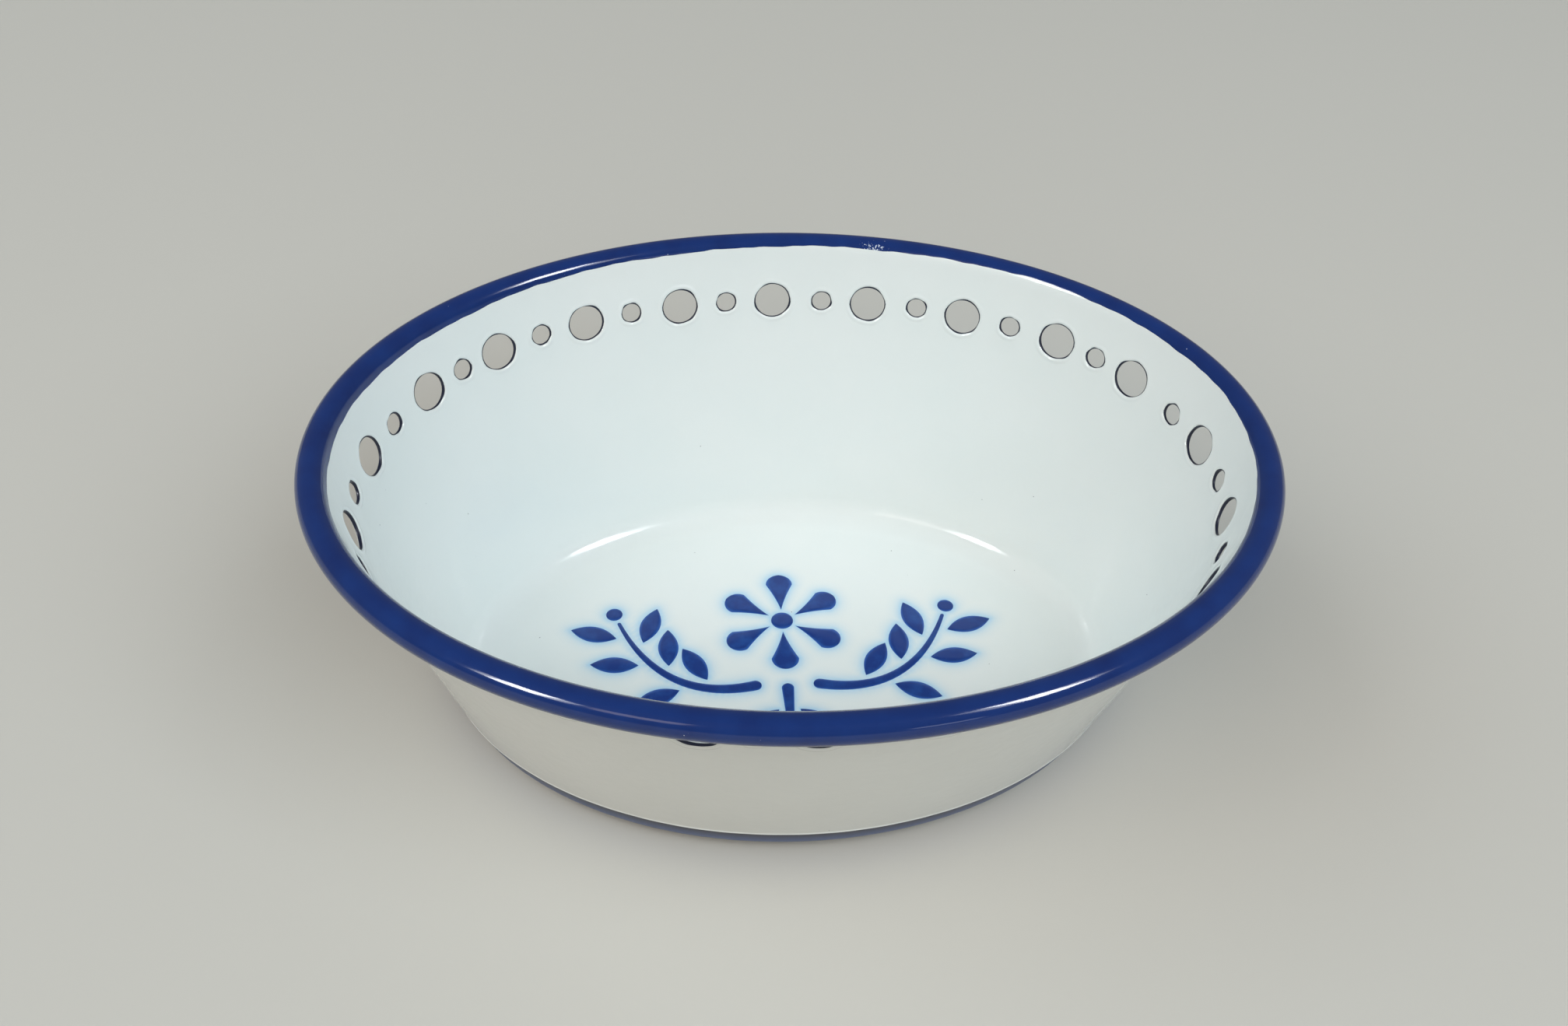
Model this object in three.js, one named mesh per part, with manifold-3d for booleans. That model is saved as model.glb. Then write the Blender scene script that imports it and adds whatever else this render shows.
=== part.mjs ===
// An oval bread bowl of enamelled sheet steel: a flat floor, a wall that flares up to a rolled rim,
// and a row of large and small holes, turn about, under the rim.
// Millimetres, +Z up, +X along the bowl. The origin is on the table, under the middle of the floor.
//
// The section across the short way is drawn once, as the steel sheet's outer face, and every layer
// lies at a depth measured inwards from that face. A lathe turns a layer's outline into a round
// bowl, and each of its rings then becomes an oval that runs parallel to the rim's ellipse. The
// bowl has one flat facet for each hole, so that most holes lie in the middle of a facet.

import * as THREE from "three";
import { mergeVertices } from "three/addons/utils/BufferGeometryUtils.js";
import Module from "manifold-3d";

const wasm = await Module();
wasm.setup();

// The finished bowl.
const RIM_LENGTH = 261; // outside the rolled rim
const RIM_WIDTH = 201; // outside the rolled rim
const HEIGHT = 94.2; // table to the top of the rim
const BASE_WIDTH = 135; // between the lines of the two outer walls where they meet the table

// The steel pressing, with its dark ground coat fused all over it.
const SHEET = 0.8; // steel and ground coat together
const CORNER_RADIUS = 10; // inside bend from the floor to the wall
const RIM_BEAD = 7.8; // diameter of the rolled rim over its edging
const CURL_GAP = 1; // room between the rolled-in end of the rim and the wall

// The cover coats.
const LINING = 0.2; // white, inside
const OUTER_COAT = 0.2; // white, outside
const EDGING = 0.25; // blue, over the rim
const STROKE = 0.12; // blue, painted on the floor
const BOND = 0.05; // room between a coat and what it is fused to

// Where the coats stop.
const FOOT_BAND = 12.7; // height of the dark band that stays bare round the foot
const PAINT_TURN = 8; // degrees round the rim from the inside wall to where the blue starts
const COAT_BREAK = 0.3; // bare line between the white lining and the blue edging
const EDGING_BACK = 1.5; // how far the edging stops short of the rolled-in end

// The row of holes.
const HOLE_COUNT = 44; // large and small, turn about
const LARGE_HOLE = 10.8; // diameter through the steel
const SMALL_HOLE = 5.9; // diameter through the steel
const HOLE_DROP = 18.5; // from the top of the rim down to the row
const HOLE_BARE = 0.4; // width of ground coat that stays bare round a hole
const PUNCH_TAPER = 40; // a hole narrows outwards, as if to a point this far outside the wall
const PUNCH_BACK = 4; // how far inside the wall the cut starts
// Holes that were punched off their even stations. Station 0 is the middle of the back, and the
// count runs towards -X. A slip is along the row, a rise is up the wall.
const PUNCH_DRIFTS = [
  { from: 22, to: 22, slip: -0.5, rise: 2.6 },
  { from: 21, to: 21, slip: -0.4, rise: 2.1 },
  { from: 20, to: 20, slip: 0.9, rise: 0.7 },
  { from: 17, to: 19, slip: -1.6, rise: 2.4 },
  { from: 13, to: 16, slip: 0, rise: 0.5 },
  { from: 11, to: 12, slip: 0.7, rise: 0.1 },
  { from: 9, to: 10, slip: -0.2, rise: -0.5 },
  { from: 8, to: 8, slip: -1.5, rise: 0 },
  { from: 7, to: 7, slip: -0.1, rise: 0.1 },
  { from: 5, to: 6, slip: 1.7, rise: 0 },
  { from: 3, to: 4, slip: 1.6, rise: -0.6 },
  { from: 0, to: 2, slip: 0.7, rise: -1.1 },
  { from: -2, to: -1, slip: -0.2, rise: -1.1 },
  { from: -4, to: -3, slip: -1, rise: -0.3 },
  { from: -5, to: -5, slip: -1.6, rise: 0.5 },
  { from: -6, to: -6, slip: -2.5, rise: 1.1 },
  { from: -7, to: -7, slip: -1.1, rise: 1.2 },
  { from: -8, to: -8, slip: 0.4, rise: 1 },
  { from: -10, to: -9, slip: -2.7, rise: -0.1 },
  { from: -13, to: -11, slip: -3.1, rise: 0 },
  { from: -16, to: -14, slip: -2.3, rise: 0.6 },
  { from: -19, to: -17, slip: -1, rise: 1.6 },
  { from: -21, to: -20, slip: -0.1, rise: 2.5 },
];

// The painted sprig: a flower in the middle and a branch to each side.
const FLOWER_BACK = 17; // from the middle of the floor to the middle of the flower
const FLOWER_EYE = 7; // diameter
const PETAL_COUNT = 6;
const PETAL_LENGTH = 15.5;
const PETAL_WIDTH = 8.6;
const PETAL_WAIST = 1 / 3; // how far out a petal's sides pull half way along, as a share of its width
const BRANCH_START = new THREE.Vector2(8, -9);
const BRANCH_BEND = new THREE.Vector2(38, -17);
const BRANCH_END = new THREE.Vector2(52, 18);
const BRANCH_WIDTH = 4;
const BRANCH_TAPER = 0.7; // share of its width that a branch loses by its end
const LEAF_LENGTH = 15;
const LEAF_WIDTH = 6.4;
const LEAF_ANGLE = 48; // degrees between a leaf and its branch
const LEAVES_ABOVE = [0.3, 0.56, 0.8]; // shares of the branch's length
const LEAVES_BELOW = [0.42, 0.68, 0.9]; // shares of the branch's length
const BERRY = 5.2; // diameter
const STALK_LENGTH = 24;
const STALK_LEAF_AT = 0.42; // share of the stalk's length
const STROKE_GAP = 1.2; // bare white between neighbouring strokes

// How finely the curves are cut.
const CORNER_STEPS = 5;
const CURL_STEPS = 3; // in each quarter turn
const LARGE_HOLE_SIDES = 12;
const SMALL_HOLE_SIDES = 8;
const STROKE_STEPS = 5;
const BRANCH_STEPS = 10;

// The section, worked out from the sizes above.
const rimOval = new THREE.Vector2(RIM_LENGTH, RIM_WIDTH).divideScalar(2);
const halfBase = BASE_WIDTH / 2;
const beadRadius = RIM_BEAD / 2;
const curlHollow = beadRadius - EDGING - BOND - SHEET;
const beadCentre = new THREE.Vector2(rimOval.y - beadRadius, HEIGHT - beadRadius);

// The wall's outer face starts at the base and passes the bead's centre at the hollow's radius.
const baseToBead = new THREE.Vector2(beadCentre.x - halfBase, beadCentre.y);
const lean = Math.acos(curlHollow / baseToBead.length()) - baseToBead.angle();

const cornerOutside = CORNER_RADIUS + SHEET;
const wallFoot = cornerOutside * (1 - Math.sin(lean));
const cornerCentre = wallPoint(wallFoot, cornerOutside);
const holeHeight = HEIGHT - HOLE_DROP;

// The curl rolls on until its end, with the edging on it, is CURL_GAP from the coated wall.
const curlReach = curlHollow - BOND - OUTER_COAT - CURL_GAP;
const curlTurn = 2 * Math.PI - Math.acos(curlReach / beadRadius);
const liningTurn = THREE.MathUtils.degToRad(PAINT_TURN);
const edgingStart = liningTurn + COAT_BREAK / beadRadius;
const edgingEnd = curlTurn - EDGING_BACK / beadRadius;

// Depths of the layers, inwards from the steel's outer face.
const steelInside = SHEET;
const liningOutside = SHEET + BOND;
const liningInside = liningOutside + LINING;
const edgingInside = SHEET + BOND;
const edgingOutside = edgingInside + EDGING;
const outerCoatInside = -BOND;
const outerCoatOutside = -BOND - OUTER_COAT;
const floorTop = liningInside;

// A point at a height up the wall's outer face, moved inwards by a depth.
function wallPoint(height, depth) {
  const reach = halfBase + height * Math.tan(lean);
  return new THREE.Vector2(reach - depth * Math.cos(lean), height + depth * Math.sin(lean));
}

function arcPoint(centre, radius, angle) {
  return new THREE.Vector2(Math.cos(angle), Math.sin(angle)).multiplyScalar(radius).add(centre);
}

// Stations along the section. Each gives the section's point at a depth.
const onAxis = (depth) => new THREE.Vector2(0, depth);
const onWall = (height) => (depth) => wallPoint(height, depth);
const onCorner = (share) => (depth) => {
  const angle = THREE.MathUtils.lerp(-Math.PI / 2, -lean, share);
  return arcPoint(cornerCentre, cornerOutside - depth, angle);
};
const onCurl = (turn) => (depth) => arcPoint(beadCentre, curlHollow + depth, Math.PI - lean - turn);

function steps(count) {
  return Array.from({ length: count + 1 }, (_, i) => i / count);
}

// Rows just clear of the holes, so that the cuts stay inside one ring of facets.
const highestRise = Math.max(...PUNCH_DRIFTS.map(({ rise }) => rise));
const rowReach = LARGE_HOLE / 2 + HOLE_BARE + highestRise;
const wallRows = [holeHeight - rowReach, holeHeight + rowReach];
const floorAndCorner = [onAxis, ...steps(CORNER_STEPS).map(onCorner)];
// The curl has stations at its top, its outermost point and its lowest point.
const curlMarks = [0, Math.PI / 2 - lean, Math.PI - lean, (3 * Math.PI) / 2 - lean, curlTurn];
const curlTurns = curlMarks.slice(1).flatMap((mark, i) =>
  steps(CURL_STEPS)
    .slice(i === 0 ? 0 : 1)
    .map((share) => THREE.MathUtils.lerp(curlMarks[i], mark, share)),
);

const bodyStations = [
  ...floorAndCorner,
  ...[FOOT_BAND, ...wallRows].map(onWall),
  ...curlTurns.map(onCurl),
];
const liningStations = [
  ...floorAndCorner,
  ...[FOOT_BAND, ...wallRows].map(onWall),
  onCurl(0),
  onCurl(liningTurn),
];
const edgingTurns = curlTurns.filter((turn) => turn > edgingStart && turn < edgingEnd);
const edgingStations = [edgingStart, ...edgingTurns, edgingEnd].map(onCurl);
const coatTop = beadCentre.y - curlHollow;
const outerCoatStations = [FOOT_BAND, ...wallRows, coatTop].map(onWall);

// A layer's outline: along its outer depth and back along its inner depth, as a closed loop.
function layerOutline(stations, fromDepth, toDepth) {
  const there = stations.map((at) => at(fromDepth));
  const back = stations.map((at) => at(toDepth)).reverse();
  const loop = [...there, ...back];
  return stations[0] === onAxis ? loop : [...loop, loop[0].clone()];
}

// Inside this radius the floor's rings shrink towards the middle point.
const floorEdge = cornerCentre.x;

// A ring of the round bowl stands as far inside the rim's ellipse as it stood inside its circle.
// The ellipse is given by its half length and half width.
function ovalPoint(radius, angle, ellipse) {
  const ring = Math.max(radius, floorEdge);
  const around = new THREE.Vector2(Math.cos(angle), Math.sin(angle));
  const outwards = new THREE.Vector2(ellipse.y, ellipse.x).multiply(around).normalize();
  const onRim = around.multiply(ellipse);
  return onRim.addScaledVector(outwards, ring - rimOval.y).multiplyScalar(radius / ring);
}

// The oval that the row of holes follows, from the middle of the back towards -X.
class HoleRow extends THREE.Curve {
  constructor(radius) {
    super();
    this.radius = radius;
    this.arcLengthDivisions = 720;
  }

  angleAt(share) {
    return Math.PI / 2 + 2 * Math.PI * this.getUtoTmapping(share);
  }

  getPoint(t, target = new THREE.Vector3()) {
    const oval = ovalPoint(this.radius, Math.PI / 2 + 2 * Math.PI * t, rimOval);
    return target.set(oval.x, oval.y, 0);
  }
}

const holeMiddle = wallPoint(holeHeight, SHEET / 2);
const holeRow = new HoleRow(holeMiddle.x);

// The facets meet half way between the even stations. Their corners stand a little outside the
// oval, so that the rim measures its full length and width across the flats.
const facetAngles = Array.from({ length: HOLE_COUNT }, (_, i) =>
  holeRow.angleAt((i + 0.5) / HOLE_COUNT),
);
const furthest = (part) => Math.max(...facetAngles.map((angle) => Math.abs(part(angle))));
const cornerOval = rimOval.clone().divide(new THREE.Vector2(furthest(Math.cos), furthest(Math.sin)));

function ovalLathe(outline) {
  const geometry = new THREE.LatheGeometry(outline, HOLE_COUNT);
  const position = geometry.getAttribute("position");
  for (let i = 0; i < position.count; i++) {
    const section = outline[i % outline.length];
    const angle = facetAngles[Math.floor(i / outline.length) % HOLE_COUNT];
    const placed = ovalPoint(section.x, angle, cornerOval);
    position.setXYZ(i, placed.x, placed.y, section.y);
  }
  return geometry;
}

function solidOf(geometry) {
  geometry.deleteAttribute("normal");
  geometry.deleteAttribute("uv");
  const merged = mergeVertices(geometry);
  return new wasm.Manifold(
    new wasm.Mesh({
      numProp: 3,
      vertProperties: new Float32Array(merged.getAttribute("position").array),
      triVerts: new Uint32Array(merged.index.array),
    }),
  );
}

function geometryOf(solid) {
  const cut = solid.getMesh();
  const geometry = new THREE.BufferGeometry();
  geometry.setAttribute("position", new THREE.BufferAttribute(cut.vertProperties, 3));
  geometry.setIndex(new THREE.BufferAttribute(cut.triVerts, 1));
  geometry.computeVertexNormals();
  return geometry;
}

function driftAt(station) {
  const drift = PUNCH_DRIFTS.find(({ from, to }) => station >= from && station <= to);
  return drift ?? { slip: 0, rise: 0 };
}

// One cutter for each hole, square to the wall, wider than the hole by a margin all round.
function holeCutter(station, margin) {
  const isLarge = station % 2 === 0;
  const { slip, rise } = driftAt(station);
  const share = (station / HOLE_COUNT + slip / holeRow.getLength() + 1) % 1;
  const tangent = holeRow.getTangentAt(share);
  const outwards = new THREE.Vector3(tangent.y, -tangent.x, 0);
  const centre = holeRow.getPointAt(share).addScaledVector(outwards, rise * Math.sin(lean));
  centre.z = holeMiddle.y + rise * Math.cos(lean);
  const axis = outwards.multiplyScalar(Math.cos(lean)).setZ(-Math.sin(lean));
  const radius = (isLarge ? LARGE_HOLE : SMALL_HOLE) / 2 + margin;
  const sides = isLarge ? LARGE_HOLE_SIDES : SMALL_HOLE_SIDES;
  const length = PUNCH_TAPER + PUNCH_BACK;
  const cutter = new THREE.ConeGeometry((radius * length) / PUNCH_TAPER, length, sides);
  cutter.translate(0, length / 2 - PUNCH_BACK, 0);
  cutter.applyQuaternion(
    new THREE.Quaternion().setFromUnitVectors(new THREE.Vector3(0, 1, 0), axis),
  );
  cutter.translate(centre.x, centre.y, centre.z);
  return solidOf(cutter);
}

function pierced(geometry, margin) {
  let solid = solidOf(geometry);
  for (let i = 0; i < HOLE_COUNT; i++) {
    const station = i - Math.ceil(HOLE_COUNT / 2) + 1;
    solid = solid.subtract(holeCutter(station, margin));
  }
  return geometryOf(solid);
}

function piece(name, geometry, material) {
  const mesh = new THREE.Mesh(geometry, material);
  mesh.name = name;
  return mesh;
}

// The enamels. Each piece has its own copy.
const groundCoat = () =>
  new THREE.MeshStandardMaterial({ color: "#232d4a", roughness: 0.3, metalness: 0 });
const whiteEnamel = () =>
  new THREE.MeshStandardMaterial({ color: "#e6efee", roughness: 0.15, metalness: 0 });
const rimBlue = () =>
  new THREE.MeshStandardMaterial({ color: "#17306b", roughness: 0.15, metalness: 0 });
const paintedBlue = () =>
  new THREE.MeshStandardMaterial({ color: "#234a8b", roughness: 0.2, metalness: 0 });

function pressing() {
  const outline = layerOutline(bodyStations, 0, steelInside);
  return piece("body", pierced(ovalLathe(outline), 0), groundCoat());
}

function whiteLining() {
  const outline = layerOutline(liningStations, liningOutside, liningInside);
  return piece("white_lining", pierced(ovalLathe(outline), HOLE_BARE), whiteEnamel());
}

function whiteOuterCoat() {
  const outline = layerOutline(outerCoatStations, outerCoatOutside, outerCoatInside);
  return piece("white_outer_coat", pierced(ovalLathe(outline), HOLE_BARE), whiteEnamel());
}

function rimEdging() {
  const outline = layerOutline(edgingStations, edgingInside, edgingOutside);
  return piece("rim_edging", ovalLathe(outline), rimBlue());
}

// Strokes of the sprig, drawn flat, each from its own origin along +X.
function petalShape() {
  const shape = new THREE.Shape();
  const half = PETAL_WIDTH / 2;
  const bulge = PETAL_LENGTH - half;
  const waist = half * PETAL_WAIST;
  shape.moveTo(0, 0);
  shape.quadraticCurveTo(bulge / 2, -waist, bulge, -half);
  shape.absarc(bulge, 0, half, -Math.PI / 2, Math.PI / 2, false);
  shape.quadraticCurveTo(bulge / 2, waist, 0, 0);
  return shape;
}

function leafShape() {
  const shape = new THREE.Shape();
  shape.moveTo(0, 0);
  shape.quadraticCurveTo(LEAF_LENGTH / 2, -LEAF_WIDTH, LEAF_LENGTH, 0);
  shape.quadraticCurveTo(LEAF_LENGTH / 2, LEAF_WIDTH, 0, 0);
  return shape;
}

function dotShape(diameter) {
  return new THREE.Shape().absarc(0, 0, diameter / 2, 0, 2 * Math.PI, false);
}

// A brush stroke along a curve, widest at its start and drawn out to a fine end.
function taperedShape(curve, width) {
  const shares = steps(BRANCH_STEPS);
  const side = (sign) =>
    shares.map((share) => {
      const tangent = curve.getTangentAt(share);
      const half = (width / 2) * (1 - BRANCH_TAPER * share);
      const normal = new THREE.Vector2(-tangent.y, tangent.x);
      return curve.getPointAt(share).addScaledVector(normal, sign * half);
    });
  return new THREE.Shape([...side(-1), ...side(1).reverse()]);
}

function stroke(name, shape, x, y, angle) {
  const geometry = new THREE.ExtrudeGeometry(shape, {
    depth: STROKE,
    bevelEnabled: false,
    curveSegments: STROKE_STEPS,
  });
  const mesh = piece(name, geometry, paintedBlue());
  mesh.position.set(x, y, floorTop + BOND);
  mesh.rotation.z = angle;
  return mesh;
}

function flower() {
  const group = new THREE.Group();
  group.add(stroke("flower_eye", dotShape(FLOWER_EYE), 0, FLOWER_BACK, 0));
  const reach = FLOWER_EYE / 2 + STROKE_GAP;
  for (let i = 0; i < PETAL_COUNT; i++) {
    const angle = (2 * Math.PI * (i + 0.5)) / PETAL_COUNT;
    const x = reach * Math.cos(angle);
    const y = FLOWER_BACK + reach * Math.sin(angle);
    group.add(stroke(`flower_petal_${i + 1}`, petalShape(), x, y, angle));
  }
  return group;
}

// One branch with its leaves and berry. sideways is 1 on the right and -1 on the left.
function branch(label, sideways) {
  const group = new THREE.Group();
  const mirrored = (point) => new THREE.Vector2(sideways * point.x, point.y);
  const curve = new THREE.QuadraticBezierCurve(
    mirrored(BRANCH_START),
    mirrored(BRANCH_BEND),
    mirrored(BRANCH_END),
  );
  group.add(stroke(`branch_${label}`, taperedShape(curve, BRANCH_WIDTH), 0, 0, 0));

  const addLeaf = (name, share, above) => {
    const tangent = curve.getTangentAt(share);
    const turnSign = above * sideways;
    const normal = new THREE.Vector2(-tangent.y, tangent.x).multiplyScalar(turnSign);
    const foot = curve.getPointAt(share).addScaledVector(normal, BRANCH_WIDTH / 2 + STROKE_GAP);
    const angle = tangent.angle() + turnSign * THREE.MathUtils.degToRad(LEAF_ANGLE);
    group.add(stroke(name, leafShape(), foot.x, foot.y, angle));
  };
  LEAVES_ABOVE.forEach((share, i) => addLeaf(`leaf_${label}_above_${i + 1}`, share, 1));
  LEAVES_BELOW.forEach((share, i) => addLeaf(`leaf_${label}_below_${i + 1}`, share, -1));

  const berryReach = BERRY / 2 + STROKE_GAP;
  const berry = curve.getPointAt(1).addScaledVector(curve.getTangentAt(1), berryReach);
  group.add(stroke(`berry_${label}`, dotShape(BERRY), berry.x, berry.y, 0));
  return group;
}

function stalk() {
  const group = new THREE.Group();
  const start = new THREE.Vector2(0, BRANCH_START.y);
  const end = new THREE.Vector2(0, BRANCH_START.y - STALK_LENGTH);
  const curve = new THREE.LineCurve(start, end);
  group.add(stroke("stalk", taperedShape(curve, BRANCH_WIDTH), 0, 0, 0));
  const leafAngle = THREE.MathUtils.degToRad(LEAF_ANGLE);
  const foot = curve.getPointAt(STALK_LEAF_AT);
  const aside = BRANCH_WIDTH / 2 + STROKE_GAP;
  const down = -Math.PI / 2;
  group.add(stroke("stalk_leaf_right", leafShape(), aside, foot.y, down + leafAngle));
  group.add(stroke("stalk_leaf_left", leafShape(), -aside, foot.y, down - leafAngle));
  return group;
}

const bowl = new THREE.Group();
bowl.add(pressing(), whiteLining(), whiteOuterCoat(), rimEdging());
bowl.add(flower(), branch("right", 1), branch("left", -1), stalk());

export default bowl;
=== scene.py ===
# %% [markdown]
# # An oval bread bowl in enamelled steel
# The real bowl is one pressing of sheet steel. It was dipped in a dark ground coat, sprayed white
# inside and outside, edged in blue with a brush and fired after each coat. So it is a stack of thin
# glassy layers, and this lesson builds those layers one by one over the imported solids.
# The frame gives the place and the overall size. Each new mesh replaces one solid where it stands.

# %% Load the frame
import math

import bmesh
import bpy
import numpy as np
from mathutils import Matrix, Vector
from mathutils.kdtree import KDTree


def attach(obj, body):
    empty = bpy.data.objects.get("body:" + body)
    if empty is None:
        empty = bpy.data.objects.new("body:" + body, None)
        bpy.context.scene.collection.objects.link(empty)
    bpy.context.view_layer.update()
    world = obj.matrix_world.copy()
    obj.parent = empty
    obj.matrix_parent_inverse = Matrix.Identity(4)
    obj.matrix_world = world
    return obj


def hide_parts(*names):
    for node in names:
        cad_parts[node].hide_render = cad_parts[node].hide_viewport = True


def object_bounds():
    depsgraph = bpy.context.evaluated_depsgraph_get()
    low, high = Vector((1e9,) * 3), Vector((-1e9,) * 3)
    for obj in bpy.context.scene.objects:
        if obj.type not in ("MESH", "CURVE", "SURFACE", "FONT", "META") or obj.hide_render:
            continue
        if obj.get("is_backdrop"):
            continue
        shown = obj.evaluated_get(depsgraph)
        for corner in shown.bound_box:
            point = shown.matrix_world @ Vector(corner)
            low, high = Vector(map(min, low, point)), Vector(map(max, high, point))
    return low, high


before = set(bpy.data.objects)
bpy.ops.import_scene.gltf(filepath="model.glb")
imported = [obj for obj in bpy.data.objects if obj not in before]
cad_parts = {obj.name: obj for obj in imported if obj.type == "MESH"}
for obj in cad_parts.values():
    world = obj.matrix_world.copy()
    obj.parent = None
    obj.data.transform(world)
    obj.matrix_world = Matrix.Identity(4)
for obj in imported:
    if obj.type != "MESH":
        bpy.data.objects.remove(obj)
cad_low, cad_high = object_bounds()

print("solids in the frame:", len(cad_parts))

# %% [markdown]
# ## Sizes
# Everything is written in millimetres and turned to metres once, when a mesh is made. The length,
# width and height come from the frame. A box can't give a sheet thickness or a bend, so those are
# repeated here by name.

# %% Sizes of the bowl
MM = 0.001
RIM_LENGTH, RIM_WIDTH, HEIGHT = (cad_high - cad_low) / MM
BASE_WIDTH = 135  # between the lines of the two outer walls where they meet the table
SHEET = 0.8  # steel and ground coat together
CORNER_RADIUS = 10  # inside bend from the floor to the wall
RIM_BEAD = 7.8  # diameter of the rolled rim over its edging
LINING = 0.2
OUTER_COAT = 0.2
EDGING = 0.25
BOND = 0.05  # room between a coat and what it is fused to
PAINT_BOND = 0.004  # the same between painted blue and the lining under it
FOOT_BAND = 12.7  # height of the dark band round the foot
CURL_GAP = 1  # room between the rolled-in end of the rim and the wall
EDGING_BACK = 1.5  # how far the edging stops short of the rolled-in end
print(f"rim {RIM_LENGTH:.1f} by {RIM_WIDTH:.1f} mm, height {HEIGHT:.1f} mm")

# %% [markdown]
# ## The camera
# The picture was taken from the front, looking down at a little over 40 degrees, with a lens that is
# a little wider than normal. The camera is placed first, so that every later step can be compared
# with the picture. A camera looks along its own -Z axis, so its matrix is built from three axes,
# and the small roll turns two of them about the third.

# %% Place the camera
CAMERA_AT = Vector((-30.33, -288.86, 336.49)) * MM
CAMERA_AIM = Vector((4.08, 68.28, 0.0)) * MM
CAMERA_ROLL = math.radians(2.466)
SENSOR_WIDTH = 36  # in millimetres, as on a full-frame camera
LENS = 32.57  # focal length in millimetres

forward = (CAMERA_AIM - CAMERA_AT).normalized()
level = forward.cross(Vector((0, 0, 1))).normalized()
upright = level.cross(forward)
right = level * math.cos(CAMERA_ROLL) + upright * math.sin(CAMERA_ROLL)
up = right.cross(forward)

camera_data = bpy.data.cameras.new("camera")
camera_data.sensor_width = SENSOR_WIDTH
camera_data.lens = LENS
camera = bpy.data.objects.new("camera", camera_data)
camera.matrix_world = Matrix.Translation(CAMERA_AT) @ Matrix((right, up, -forward)).transposed().to_4x4()
bpy.context.scene.collection.objects.link(camera)
bpy.context.scene.camera = camera
print(f"camera looks down {math.degrees(math.asin(-forward.z)):.1f} degrees")

# %% [markdown]
# ## The section
# Cut the bowl across its short way and every layer shows the same outline at its own depth: a flat
# floor, a bend, a leaning wall and a roll. A depth is measured inwards from the steel's outer face,
# so parallel layers come from one set of formulas. They take numpy arrays, so that one call places
# a whole ring of points.

# %% Section formulas
bead_radius = RIM_BEAD / 2
curl_hollow = bead_radius - EDGING - BOND - SHEET
bead_x = RIM_WIDTH / 2 - bead_radius
bead_z = HEIGHT - bead_radius
base_to_bead = Vector((bead_x - BASE_WIDTH / 2, bead_z))
lean = math.acos(curl_hollow / base_to_bead.length) - math.atan2(base_to_bead.y, base_to_bead.x)
wall_top = bead_z + curl_hollow * math.sin(lean)
print(f"the wall leans out {math.degrees(lean):.1f} degrees and curls from {wall_top:.1f} mm up")


def wall_point(height, depth):
    """Reach and height of a point on the wall, from its height on the steel's outer face."""
    reach = BASE_WIDTH / 2 + height * math.tan(lean)
    return reach - depth * math.cos(lean), height + depth * math.sin(lean)


corner_outside = CORNER_RADIUS + SHEET
wall_foot = corner_outside * (1 - math.sin(lean))
corner_x, corner_z = wall_point(wall_foot, corner_outside)


def corner_point(share, depth):
    """A point round the bend, from the floor at share 0 to the wall at share 1."""
    angle = share * (math.pi / 2 - lean) - math.pi / 2
    radius = corner_outside - depth
    return corner_x + radius * np.cos(angle), corner_z + radius * np.sin(angle)


lining_face = SHEET + BOND + LINING
rim_face = curl_hollow + lining_face


def rim_point(run, depth):
    """A point near the rim. The run is measured along the lining from where the wall starts to curl."""
    angle = math.pi - lean - np.maximum(run, 0) / rim_face
    radius = curl_hollow + depth
    on_curl = bead_x + radius * np.cos(angle), bead_z + radius * np.sin(angle)
    on_wall = wall_point(wall_top + np.minimum(run, 0) * math.cos(lean), depth)
    return [np.where(run > 0, c, w) for c, w in zip(on_curl, on_wall)]


# %% [markdown]
# ## From a round bowl to an oval one
# A plain stretch along X would make the wall lean more at the ends than at the sides. On the real
# pressing the wall leans the same all round, so each ring of the section is drawn parallel to the
# rim's ellipse. On the floor the rings just shrink towards the middle.

# %% Oval rings
floor_edge = corner_x


def oval(reach, angle):
    """X and Y of a ring of that reach, at an angle of the rim's ellipse."""
    ring = np.maximum(reach, floor_edge)
    across = np.cos(angle)
    along = np.sin(angle)
    steep = np.hypot(RIM_WIDTH * across, RIM_LENGTH * along)
    inset = (ring - RIM_WIDTH / 2) / steep
    x = across * (RIM_LENGTH / 2 + RIM_WIDTH * inset)
    y = along * (RIM_WIDTH / 2 + RIM_LENGTH * inset)
    return x * reach / ring, y * reach / ring


print(f"the flat floor is {2 * oval(floor_edge, 0)[0]:.1f} by {2 * floor_edge:.1f} mm")

# %% [markdown]
# ## The row of holes
# 44 holes were punched under the rim, large and small turn about, and some of them a few millimetres
# off their marks. The row is measured along its own oval from the middle of the back. The mesh is
# planned round the holes: each one gets a cell of the wall, and every ring of the bowl is divided
# where the cells are, so that nothing has to be cut afterwards.

# %% Stations of the holes
HOLE_COUNT = 44
LARGE_HOLE = 10.8
SMALL_HOLE = 5.9
HOLE_DROP = 18.5  # from the top of the rim down to the row
HOLE_BARE = 0.4  # width of ground coat that shows round a hole
PUNCH_TAPER = 40  # a hole narrows outwards, as if to a point this far outside the wall
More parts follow.
